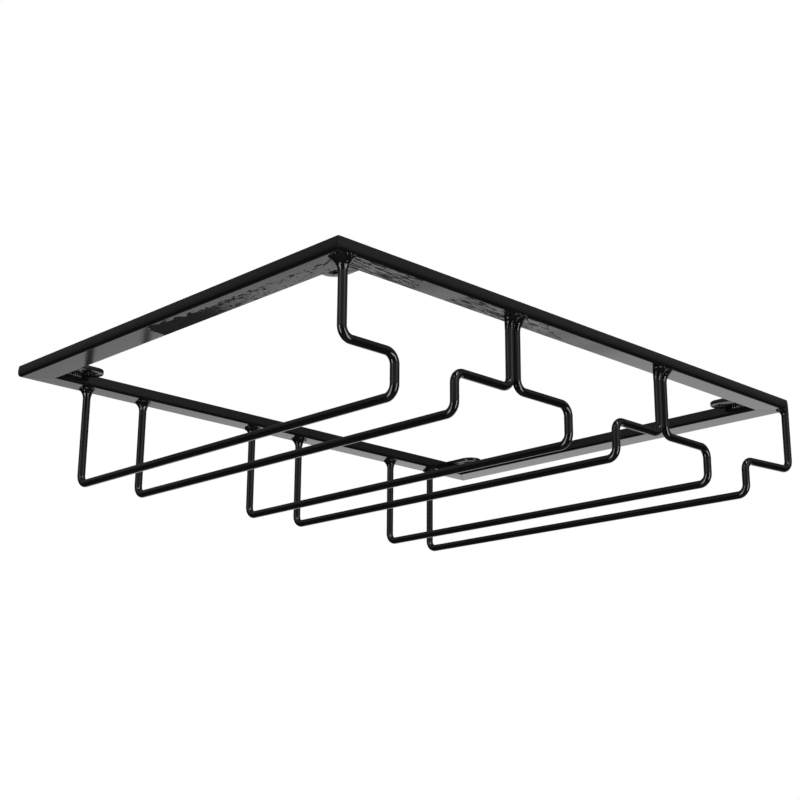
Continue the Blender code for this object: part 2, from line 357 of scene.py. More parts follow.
@dataclass(frozen=True)
class GlossPaint:
    """One coat of gloss black paint, with its peel and the mill scale that shows through it."""

    name: str
    slot: str
    colour: tuple[float, float, float]
    roughness: float
    peel_size: float
    peel_depth: float
    scale: ScalePatch | None = None
    ior: float = 1.5
    tone_shares: tuple[tuple[str, float], ...] = (("Thin", 1.25), ("Full", 0.8), ("Speck", 3.0))

    def material(self, effects: EffectLibrary) -> bpy.types.Material:
        """Build the paint.

        Args:
            effects: The shared shader groups.

        Returns:
            The material.
        """
        material = bpy.data.materials.new(self.name)
        material.use_nodes = True
        tree = material.node_tree
        shader = tree.nodes["Principled BSDF"].inputs
        shader["Roughness"].default_value = self.roughness
        shader["IOR"].default_value = self.ior
        place = add(tree, "TexCoord", {})["Object"]
        shades = {label: (*(part * share for part in self.colour), 1.0) for label, share in self.tone_shares}
        tone = add(tree, "Group", {"Vector": place, **shades}, node_tree=effects.paint_tone)
        feed(tree, tone["Color"], shader["Base Color"])
        peel = {"Vector": place, "Size": self.peel_size, "Depth": self.peel_depth}
        height = add(tree, "Group", peel, node_tree=effects.orange_peel)["Height"]
        if self.scale:
            scaled = self.scaled(tree, effects, place)
            height = calc(tree, "ADD", height, scaled["Height"])
            rough = span(tree, scaled["Mask"], 0.0, 1.0, self.roughness, self.scale.rough)
            feed(tree, rough, shader["Roughness"])
        feed(tree, add(tree, "Bump", {"Distance": 1.0, "Height": height})["Normal"], shader["Normal"])
        return material

    def scaled(self, tree: Tree, effects: EffectLibrary, place: Socket) -> bpy.types.NodeOutputs:
        """Lay the mill scale along the bar.

        Args:
            tree: The material's nodes.
            effects: The shared shader groups.
            place: The object coordinates.

        Returns:
            Its mask and its height.
        """
        patch = self.scale
        split = add(tree, "SeparateXYZ", {0: place})
        across = span(tree, split[1 - patch.run.value], patch.inner_line, patch.outer_line)
        share, density = (ramp(tree, split[patch.run.value], stops, stops[0][0], stops[-1][0])
                          for stops in (patch.shares, patch.density))
        stretch = [1.0, 1.0, 1.0]
        stretch[patch.run.value] = patch.stretch
        given = {"Vector": place, "Stretch": stretch, "Share": share, "Across": across, "Flake": patch.flake,
                 "Density": density, "Fill": patch.fill, "Depth": patch.depth, "Underside": patch.underside}
        return add(tree, "Group", given, node_tree=effects.mill_scale)


BLACK = (0.0035, 0.0035, 0.0038)
WELD_BLACK = (0.0028, 0.0028, 0.003)
BAR_PAINT = GlossPaint("bar_gloss", "frame_paint", BLACK, 0.15, 6.0 * MM, 3.0 * MICRON)
WIRE_PAINT = GlossPaint("wire_gloss", "wire_paint", BLACK, 0.14, 3.0 * MM, 1.0 * MICRON)
TAB_PAINT = GlossPaint("tab_gloss", "tab_paint", BLACK, 0.18, 1.8 * MM, 5.0 * MICRON)
BEAD_PAINT = GlossPaint("bead_gloss", "weld_paint", WELD_BLACK, 0.1, 1.1 * MM, 130.0 * MICRON)
FILLET_PAINT = GlossPaint("fillet_gloss", "weld_paint", WELD_BLACK, 0.15, 1.2 * MM, 14.0 * MICRON)


def hold(*pieces: Piece) -> None:
    """Select pieces alone, the first of them as the active one, or leave nothing selected.

    Args:
        *pieces: The pieces, if any.
    """
    for item in bpy.context.view_layer.objects:
        item.select_set(item in pieces)
    if pieces:
        bpy.context.view_layer.objects.active = pieces[0]


def new_piece(name: str, primitive: Callable[..., set[str]], **settings: object) -> Piece:
    """Add a primitive alone, name it, and bake its place into its mesh.

    Args:
        name: The piece's name.
        primitive: The operator that adds it.
        **settings: The operator's settings, such as its size and place.

    Returns:
        The new object.
    """
    hold()
    primitive(**settings)
    piece = bpy.context.view_layer.objects.active
    piece.name = piece.data.name = name
    bpy.ops.object.transform_apply(location=True, rotation=True, scale=True)
    return piece


def pick(kind: str, test: Callable[[bmesh.types.BMVert | bmesh.types.BMEdge], bool]) -> None:
    """Select elements of the mesh that is open in edit mode by their place.

    Args:
        kind: The elements to go through: verts or edges.
        test: A function of one element that says whether to select it.
    """
    mesh = bpy.context.edit_object.data
    work = bmesh.from_edit_mesh(mesh)
    bpy.ops.mesh.select_mode(type={"verts": "VERT", "edges": "EDGE"}[kind])
    bpy.ops.mesh.select_all(action="DESELECT")
    for element in getattr(work, kind):
        if test(element):
            element.select_set(True)
    work.select_flush_mode()
    bmesh.update_edit_mesh(mesh)


def open_mesh(piece: Piece) -> None:
    """Open a piece alone in edit mode."""
    hold(piece)
    bpy.ops.object.mode_set(mode="EDIT")


def close_mesh() -> None:
    """Point the open mesh's faces outwards and leave edit mode."""
    bpy.ops.mesh.select_all(action="SELECT")
    bpy.ops.mesh.normals_make_consistent(inside=False)
    bpy.ops.object.mode_set(mode="OBJECT")


def way(axis: int, length: float) -> Vector:
    """A vector along one axis.

    Args:
        axis: The axis, 0 for X.
        length: Its length, with its sign.

    Returns:
        The vector.
    """
    step = Vector()
    step[axis] = length
    return step


def shift(axis: int, length: float, test: Callable[[bmesh.types.BMVert], bool]) -> None:
    """Move the vertices of the open mesh that pass a test along an axis."""
    pick("verts", test)
    bpy.ops.transform.translate(value=way(axis, length))


def extrude(step: Vector) -> None:
    """Draw the selected part of the open mesh out by a step."""
    bpy.ops.mesh.extrude_region_move(TRANSFORM_OT_translate={"value": step})


def cut_off(place: Vector, outwards: Vector) -> None:
    """Cut away what lies beyond a place from the open mesh, square to the way outwards, and close the cut."""
    bpy.ops.mesh.select_all(action="SELECT")
    bpy.ops.mesh.bisect(plane_co=place, plane_no=outwards, use_fill=True, clear_outer=True, threshold=MERGE)


def apply_modifier(piece: Piece, kind: str, **settings: object) -> None:
    """Add one modifier to a piece and apply it.

    Args:
        piece: The piece.
        kind: The modifier's type.
        **settings: The modifier's properties.
    """
    hold(piece)
    modifier = piece.modifiers.new(kind.lower(), kind)
    for label, value in settings.items():
        setattr(modifier, label, value)
    bpy.ops.object.modifier_apply(modifier=modifier.name)


def smooth(piece: Piece) -> None:
    """Shade a piece smooth, but for its sharp edges."""
    hold(piece)
    bpy.ops.object.shade_smooth_by_angle(angle=SMOOTH_ANGLE)


def frame_reach() -> Vector:
    """The frame's half width and half depth."""
    return Vector((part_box("right_bar")[1].x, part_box("back_bar")[1].y, 0.0))


@dataclass(frozen=True)
class WeldMetal:
    """How weld metal sets: its mesh's grain, how often it is smoothed, and its ripple's height and size."""

    pattern_name: str
    voxel: float
    rounds: int
    ripple: float
    ripple_size: float
    drop_facets: int = 3

    @cached_property
    def pattern(self) -> bpy.types.Texture:
        """The pattern of the ripple.

        Returns:
            The texture.
        """
        texture = bpy.data.textures.new(self.pattern_name, "CLOUDS")
        texture.noise_scale = self.ripple_size
        return texture

    def drop(self, node: str, centre: Vector, radius: float) -> Piece:
        """One drop of the metal of a node's weld."""
        return new_piece(f"{node}_drop", bpy.ops.mesh.primitive_ico_sphere_add, radius=radius,
                         subdivisions=self.drop_facets, location=centre)

    def melt(self, metal: list[Piece], name: str) -> Piece:
        """Run weld metal together into one rippled skin.

        Args:
            metal: The drops and skirts.
            name: The name of the melted piece.

        Returns:
            The melted piece.
        """
        melted = metal[0]
        hold(*metal)
        bpy.ops.object.join()
        melted.name = melted.data.name = name
        apply_modifier(melted, "REMESH", mode="VOXEL", voxel_size=self.voxel)
        apply_modifier(melted, "SMOOTH", iterations=self.rounds, factor=0.5)
        apply_modifier(melted, "DISPLACE", texture=self.pattern, texture_coords="GLOBAL",
                       strength=self.ripple, mid_level=0.5)
        return melted


@dataclass
class SubAssembly:
    """What every sub-assembly of the rack shares: its material and the way that it hands in a piece."""

    material: bpy.types.Material
    slot: str

    def hand_in(self, piece: Piece, node: str, material: bpy.types.Material | None = None) -> None:
        """Paint a finished piece and let it stand for its node.

        Args:
            piece: The finished piece.
            node: The node of the frame that it stands for.
            material: Its own paint, where it isn't the sub-assembly's.
        """
        piece.data.materials.clear()
        piece.data.materials.append(material or self.material)
        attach(piece, "root")
        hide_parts(node)
        LOG.info("%s: %d faces for %s", piece.name, len(piece.data.polygons), node)


@dataclass
class FrameBars(SubAssembly):
    """The four flat bars, mitred and welded into a rectangle that lies against the shelf."""

    worn: dict[str, bpy.types.Material]
    lower_round: float = 1.3 * MM
    upper_round: float = 0.5 * MM
    round_steps: int = 5
    crown: float = 0.28 * MM
    soft_corner: Side = Side.FRONT_RIGHT
    corner_round: float = 2.0 * MM
    corner_steps: int = 10
    least_slant: float = 0.3
    seam_round: float = 0.08 * MM
    seam_gap: float = 0.02 * MM
    slack: float = 0.01 * MM

    def build(self) -> None:
        """Make the four bars."""
        reach = frame_reach()
        for name, run, sign in (("front_bar", Run.ACROSS, -1), ("back_bar", Run.ACROSS, 1),
                                ("left_bar", Run.TO_THE_BACK, -1), ("right_bar", Run.TO_THE_BACK, 1)):
            self.hand_in(self.bar(name, run.value, sign, reach), name, self.worn.get(name))

    def bar(self, node: str, along: int, sign: int, reach: Vector) -> Piece:
        """Make one bar from a block whose inner edge is drawn in to the mitres.

        Args:
            node: The bar's node in the frame.
            along: The axis that it runs along.
            sign: The side of the frame that it is on.
            reach: The frame's half width and half depth.

        Returns:
            The bar.
        """
        low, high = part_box(node)
        deep = 1 - along
        next_low, next_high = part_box("front_bar" if along else "right_bar")
        next_width = next_high[along] - next_low[along]
        width = high[deep] - low[deep]
        size = Vector((width, width, high.z - low.z))
        size[along] = 2 * reach[along]
        bar = new_piece(f"{node}_flat", bpy.ops.mesh.primitive_cube_add, size=1.0, scale=size,
                        location=(low + high) / 2)
        open_mesh(bar)
        for end in (-1, 1):
            shift(along, -end * next_width,
                  lambda v: v.co[along] * end > 0 and abs(v.co[deep]) < reach[deep] - width / 2)
            shift(along, -end * self.seam_gap / 2, lambda v: v.co[along] * end > 0)
            corner = (end, sign) if along == 0 else (sign, end)
            if corner == self.soft_corner.value:
                self.round_corner(reach, corner)
        self.crown_outer_face(along, deep, sign, (low.z + high.z) / 2)
        for level, offset in ((low.z, self.lower_round), (high.z, self.upper_round)):
            pick("edges", lambda e: self.lies_at(e, level) and not any(map(self.is_mitre, e.link_faces)))
            bpy.ops.mesh.bevel(offset=offset, segments=self.round_steps, profile=0.5, affect="EDGES")
        pick("edges", lambda e: sum(map(self.is_mitre, e.link_faces)) == 1)
        bpy.ops.mesh.bevel(offset=self.seam_round, segments=1, profile=0.5, affect="EDGES")
        close_mesh()
        smooth(bar)
        apply_modifier(bar, "WEIGHTED_NORMAL", keep_sharp=True, weight=100)
        return bar

    def crown_outer_face(self, along: int, deep: int, sign: int, middle: float) -> None:
        """Swell the open bar's outer face a little at half its height, as rolled bar does.

        Args:
            along: The axis that the bar runs along.
            deep: The axis across it.
            sign: The side of the frame that it is on.
            middle: The height of its middle.
        """
        outer = max(sign * v.co[deep] for v in bmesh.from_edit_mesh(bpy.context.edit_object.data).verts)

        def on_outer_edge(vertex: bmesh.types.BMVert) -> bool:
            """Whether a vertex lies on the upper or lower edge of the outer face."""
            outside = sign * vertex.co[deep] > outer - self.corner_round
            return outside and abs(vertex.co.z - middle) > self.slack

        bpy.ops.mesh.select_all(action="SELECT")
        bpy.ops.mesh.bisect(plane_co=way(2, middle), plane_no=way(2, 1.0), threshold=MERGE)
        shift(deep, -sign * self.crown, on_outer_edge)
        for end in (-1, 1):
            shift(along, -end * self.crown, lambda v: v.co[along] * end > 0 and on_outer_edge(v))

    def lies_at(self, edge: bmesh.types.BMEdge, level: float) -> bool:
        """Whether an edge lies level at a height."""
        return all(abs(vertex.co.z - level) < self.slack for vertex in edge.verts)

    def is_mitre(self, face: bmesh.types.BMFace) -> bool:
        """Whether a face is the slanting end of a bar, and not a small facet of a rounded corner."""
        slant = min(abs(face.normal.x), abs(face.normal.y))
        return slant > self.least_slant and face.calc_area() > (2 * self.corner_round) ** 2

    def round_corner(self, reach: Vector, corner: tuple[int, int]) -> None:
        """Cut the outer tip of the open bar to a rounded corner.

        Args:
            reach: The frame's half width and half depth.
            corner: The signs of the corner's X and Y.
        """
        centre = Vector((*(sign * (half - self.corner_round) for sign, half in zip(corner, reach)), 0.0))
        for step in range(self.corner_steps):
            turn = QUARTER * (step + 0.5) / self.corner_steps
            normal = Vector((corner[0] * math.cos(turn), corner[1] * math.sin(turn), 0.0))
            cut_off(centre + normal * self.corner_round, normal)


@dataclass
class RailWires(SubAssembly):
    """The six bent wires. Each is a leg, a lip, a rail and a back leg, bent from one length."""

    diameter: float = 4.0 * MM
    lip_rise: float = 18.0 * MM
    bend_radius: float = 5.0 * MM
    sides: int = 64
    bend_steps: int = 16
    count: int = 6
    corner_leg: int = 6
    corner_sink: float = 1.9 * MM

    def build(self) -> None:
        """Make the six wires."""
        for number in range(1, self.count + 1):
            node = f"rail_wire_{number}"
            self.hand_in(self.bent_wire(f"{node}_bent", self.route(number)), node)

    def route(self, number: int) -> list[Vector]:
        """The corner points of a wire's centre line.

        Args:
            number: The wire's number, from the left.

        Returns:
            The points, from the top of the front leg to the top of the back leg.
        """
        radius = self.diameter / 2
        low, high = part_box(f"rail_wire_{number}")
        leg_left = number % 2 == 1
        leg_x = low.x + radius if leg_left else high.x - radius
        rail_x = high.x - radius if leg_left else low.x + radius
        front_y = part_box("rail_wire_1")[0].y + radius
        leg_y = low.y + radius
        back_y = high.y - radius
        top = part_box("front_bar")[0].z
        rail_z = low.z + radius
        jog_z = rail_z + self.lip_rise
        leg_top = top + (self.corner_sink if number == self.corner_leg else 0.0)
        points = ((leg_x, leg_y, leg_top), (leg_x, leg_y, jog_z), (rail_x, front_y, jog_z),
                  (rail_x, front_y, rail_z), (rail_x, back_y, rail_z), (rail_x, back_y, top))
        return [Vector(point) for point in points]

    def bent_wire(self, name: str, route: list[Vector]) -> Piece:
        """Draw a wire out of one ring: extruded where it runs straight and spun at each bend.

        Args:
            name: The piece's name.
            route: The corner points of its centre line.

        Returns:
            The wire.
        """
        wire = new_piece(name, bpy.ops.mesh.primitive_circle_add, vertices=self.sides,
                         radius=self.diameter / 2, location=route[0])
        open_mesh(wire)
        bpy.ops.mesh.select_all(action="SELECT")
        here = route[0]
        for before, corner, after in zip(route, route[1:], route[2:]):
            inward = (corner - before).normalized()
            outward = (after - corner).normalized()
            bend = corner - inward * self.bend_radius
            extrude(bend - here)
            bpy.ops.mesh.spin(steps=self.bend_steps, angle=-QUARTER, center=bend + outward * self.bend_radius,
                              axis=inward.cross(outward))
            here = corner + outward * self.bend_radius
        extrude(route[-1] - here)
        bpy.ops.mesh.edge_face_add()
        pick("verts", lambda v: (v.co - route[0]).length < self.diameter)
        bpy.ops.mesh.edge_face_add()
        bpy.ops.mesh.select_all(action="SELECT")
        bpy.ops.mesh.remove_doubles(threshold=MERGE)
        close_mesh()
        smooth(wire)
        return wire


@dataclass
class ScrewTabs(SubAssembly):
    """The four round-ended tabs in the frame's inner corners, flush with its top."""

    hole_diameter: float = 4.5 * MM
    drill_lengths: float = 3.0
    edge_round: float = 0.3 * MM
    edge_steps: int = 3
    seat: float = 0.3 * MM
    side_slack: float = 0.02 * MM
    sides: int = 56

    def build(self) -> None:
        """Make the four tabs."""
        for side in Side:
            node = f"{side.name.lower()}_tab"
            self.hand_in(self.tab(node, side), node)

    def tab(self, node: str, side: Side) -> Piece:
        """Make one tab: half a disc whose open side is drawn out to the butt end, with a screw hole.

        Args:
            node: The tab's node in the frame.
            side: The corner that it is in.

        Returns:
            The tab.
        """
        low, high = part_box(node)
        along = 0 if high.x - low.x > high.y - low.y else 1
        deep = 1 - along
        radius = (high[deep] - low[deep]) / 2
        outward = side.value[along]
        centre = (low + high) / 2
        centre[along] = (low[along] if outward > 0 else high[along]) + outward * radius
        centre.z = low.z
        butt = (high[along] if outward > 0 else low[along]) + outward * self.seat
        tab = new_piece(f"{node}_plate", bpy.ops.mesh.primitive_circle_add, vertices=self.sides,
                        radius=radius, location=centre)
        open_mesh(tab)
        pick("verts", lambda v: (v.co[along] - centre[along]) * outward > MERGE)
        bpy.ops.mesh.delete(type="VERT")
        pick("verts", lambda v: abs(v.co[along] - centre[along]) < MERGE)
        bpy.ops.mesh.extrude_vertices_move(TRANSFORM_OT_translate={"value": way(along, butt - centre[along])})
        bpy.ops.mesh.select_all(action="SELECT")
        bpy.ops.mesh.edge_face_add()
        extrude(way(2, high.z - low.z))
        close_mesh()
        self.drill(tab, centre, high.z - low.z)
        self.close_side_gap(tab, deep, side.value[deep])
        apply_modifier(tab, "BEVEL", width=self.edge_round, segments=self.edge_steps, limit_method="ANGLE",
                       angle_limit=SMOOTH_ANGLE)
        smooth(tab)
        return tab

    def drill(self, tab: Piece, centre: Vector, thickness: float) -> None:
        """Cut the screw hole.

        Args:
            tab: The tab.
            centre: The hole's centre on the underside.
            thickness: The tab's thickness.
        """
        drill = new_piece("drill", bpy.ops.mesh.primitive_cylinder_add, vertices=self.sides, location=centre,
                          radius=self.hole_diameter / 2, depth=thickness * self.drill_lengths)
        apply_modifier(tab, "BOOLEAN", operation="DIFFERENCE", object=drill, solver="EXACT")
        bpy.data.objects.remove(drill, do_unlink=True)

    def close_side_gap(self, tab: Piece, deep: int, sign: int) -> None:
        """Widen the tab's straight part to the bar that it lies against.

        Args:
            tab: The tab.
            deep: The axis across the tab.
            sign: The way to the bar.
        """
        reach = max(sign * vertex.co[deep] for vertex in tab.data.vertices)
        open_mesh(tab)
        shift(deep, sign * self.seat, lambda v: sign * v.co[deep] > reach - self.side_slack)
        close_mesh()


@dataclass(frozen=True)
class BeadShape:
    """How far a bead reaches out round its leg and down it, and how far its foot may lean."""

    reach: float
    height: float
    lean: float


@dataclass
class WeldBeads(SubAssembly):
    """The molten beads round the tops of the legs, where they are welded to the bars."""

    wire_diameter: float = 4.0 * MM
    wire_count: int = 6
    at_back: BeadShape = BeadShape(2.5 * MM, 4.6 * MM, 0.0)
    at_front: BeadShape = BeadShape(2.0 * MM, 5.6 * MM, 2.7 * MM)
    at_soft_corner: BeadShape = BeadShape(1.1 * MM, 2.6 * MM, 2.6 * MM)
    neck: float = 0.08 * MM
    hollow: float = 2.1
    steps: int = 14
    sides: int = 40
    edge_clear: float = 0.25 * MM
    trim_clear: float = 0.0625 * MM
    least_way: float = 0.2
    drop_count: int = 9
    drop_radius: float = 0.8 * MM
    turn_per_metre: float = 400.0
    unevenness_share: float = 0.3
    swell_per_drop: float = 5.1
    swell_per_metre: float = 900.0
    metal: WeldMetal = WeldMetal("molten_ripple", voxel=0.15 * MM, rounds=6, ripple=0.28 * MM,
                                 ripple_size=1.6 * MM)

    def build(self) -> None:
        """Make a bead for each back leg, each corner leg and each touching pair."""
        upright, ahead, left = Vector(), way(1, -1.0), way(0, -1.0)
        for wire in range(1, self.wire_count + 1):
            self.bead(f"back_leg_weld_{wire}", [(self.leg(wire, True), upright)], self.at_back)
        for node, wires, leans, shape in (
                ("corner_leg_weld_1", (1,), (ahead, left, (ahead + left).normalized()), self.at_front),
                ("corner_leg_weld_2", (6,), (left,), self.at_soft_corner),
                ("leg_pair_weld_1", (2, 3), (ahead,), self.at_front),
                ("leg_pair_weld_2", (4, 5), (ahead,), self.at_front)):
            self.bead(node, [(self.leg(wire, False), lean) for wire in wires for lean in leans], shape)

    def leg(self, wire: int, at_back: bool) -> Vector:
        """One of a wire's legs, seen from above.

        Args:
            wire: The wire's number, from the left.
            at_back: Whether it is the back leg.

        Returns:
            The place of its centre line.
        """
        low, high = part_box(f"rail_wire_{wire}")
        radius = self.wire_diameter / 2
        on_the_left = (wire % 2 == 1) != at_back
        return Vector((low.x + radius if on_the_left else high.x - radius,
                       high.y - radius if at_back else low.y + radius, 0.0))

    def bead(self, node: str, skirts: list[tuple[Vector, Vector]], shape: BeadShape) -> None:
        """Make one bead: skirts that flare from the legs to the bar's outer edge, and drops round their feet.

        Args:
            node: The bead's node in the frame.
            skirts: Each skirt's leg, seen from above, and the way that its foot leans.
            shape: How far the metal reaches.
        """
        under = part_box("front_bar")[0].z
        foot = self.wire_diameter / 2 + shape.reach
        metal = []
        for leg, lean in skirts:
            if lean.length > 0:
                lean = lean * max(min(self.room(leg, lean) - foot - self.edge_clear, shape.lean), 0.0)
            metal.append(self.skirt(f"{node}_skirt", leg, lean, under, shape))
            for step in range(self.drop_count):
                turn = 2 * math.pi * (step + self.turn_per_metre * leg.x) / self.drop_count
                wave = math.sin(self.swell_per_drop * step + self.swell_per_metre * leg.x)
                away = Vector((math.cos(turn), math.sin(turn), 0.0)) * (foot - self.drop_radius)
                metal.append(self.metal.drop(node, leg + lean + away + way(2, under),
                                             self.drop_radius * (1 + self.unevenness_share * wave)))
        bead = self.metal.melt(metal, f"{node}_bead")
        self.trim(bead)
        smooth(bead)
        self.hand_in(bead, node)

    def room(self, leg: Vector, direction: Vector) -> float:
        """How far the frame's outer face lies from a leg.

        Args:
            leg: The leg's place, seen from above.
            direction: The level direction to look in.

        Returns:
            The distance.
        """
        reach = frame_reach()
        return min((math.copysign(reach[axis], direction[axis]) - leg[axis]) / direction[axis]
                   for axis in (0, 1) if abs(direction[axis]) > self.least_way)

    def skirt(self, name: str, leg: Vector, lean: Vector, top: float, shape: BeadShape) -> Piece:
        """A hollow-faced skirt that narrows down the leg, from a foot that may lean to one side.

        Args:
            name: The piece's name.
            leg: The leg's place, seen from above.
            lean: How far the foot's centre lies from the leg.
            top: The bar's underside.
            shape: How far it reaches.

        Returns:
            The skirt, a closed solid.
        """
        neck = self.wire_diameter / 2 + self.neck
        foot = self.wire_diameter / 2 + shape.reach
        place = leg + lean + way(2, top + 2 * self.neck)
        skirt = new_piece(name, bpy.ops.mesh.primitive_circle_add, vertices=self.sides, radius=foot,
                          fill_type="NGON", location=place)
        open_mesh(skirt)
        bpy.ops.mesh.select_all(action="SELECT")
        radius = foot
        for step in range(1, self.steps + 1):
            share = step / self.steps
            flare = (1 - share) ** self.hollow
            next_radius = neck + (foot - neck) * flare
            next_place = leg + lean * flare + way(2, top - shape.height * share)
            extrude(next_place - place)
            bpy.ops.transform.resize(value=(next_radius / radius, next_radius / radius, 1.0),
                                     center_override=next_place)
            radius, place = next_radius, next_place
        close_mesh()
        return skirt

    def trim(self, bead: Piece) -> None:
        """Keep a bead inside the frame's outline.

        Args:
            bead: The bead.
        """
        reach = frame_reach()
        open_mesh(bead)
        for axis in (0, 1):
            for side in (1, -1):
                cut_off(way(axis, side * (reach[axis] - self.trim_clear)), way(axis, side))
        close_mesh()


@dataclass
class FilletBeads(SubAssembly):
    """The short fillets that join the tabs to the bars, and the bars to each other in the inner corners."""

    pitch: float = 1.3 * MM
    drop_share: float = 0.82
    end_share: float = 0.45
    least_drops: int = 2
    sink: float = 0.35 * MM
    above_underside: float = 1.2 * MM
    metal: WeldMetal = WeldMetal("fillet_ripple", voxel=0.14 * MM, rounds=3, ripple=0.2 * MM,
                                 ripple_size=1.2 * MM)

    def build(self) -> None:
        """Make the tab fillets and the corner fillets."""
        for side in Side:
            for joint in ("tab", "corner"):
                self.row(f"{side.name.lower()}_{joint}_weld", side)

    def row(self, node: str, side: Side) -> None:
        """Make one fillet as a row of melted drops along the inside of an angle.

        Args:
            node: The fillet's node in the frame.
            side: The corner that it is in.
        """
        low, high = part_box(node)
        spans = high - low
        along = max(range(3), key=lambda axis: spans[axis])
        right, back = (sign > 0 for sign in side.value)
        angle = Vector((high.x if right else low.x, high.y if back else low.y, high.z))
        size = min(spans[axis] for axis in range(3) if axis != along)
        first, last = low[along] + size * self.end_share, high[along] - size * self.end_share
        count = max(self.least_drops, round((last - first) / self.pitch) + 1)
        drops = []
        for index in range(count):
            centre = angle.copy()
            centre[along] = first + (last - first) * index / (count - 1)
            drops.append(self.metal.drop(node, centre, size * self.drop_share))
        fillet = self.metal.melt(drops, f"{node}_fillet")
        open_mesh(fillet)
        for axis, sign in ((0, side.value[0]), (1, side.value[1]), (2, 1)):
            cut_off(angle + way(axis, sign * self.sink), way(axis, sign))
        cut_off(way(2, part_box("front_bar")[0].z + self.above_underside), way(2, -1.0))
        close_mesh()
        smooth(fillet)
        self.hand_in(fillet, node)


@dataclass(frozen=True)
class Lamp:
    """One lamp: its turn from behind the camera, its climb, its distance, its size and its power."""

    name: str
    turn: float
    climb: float
    distance: float
    size: tuple[float, float]
    power: float


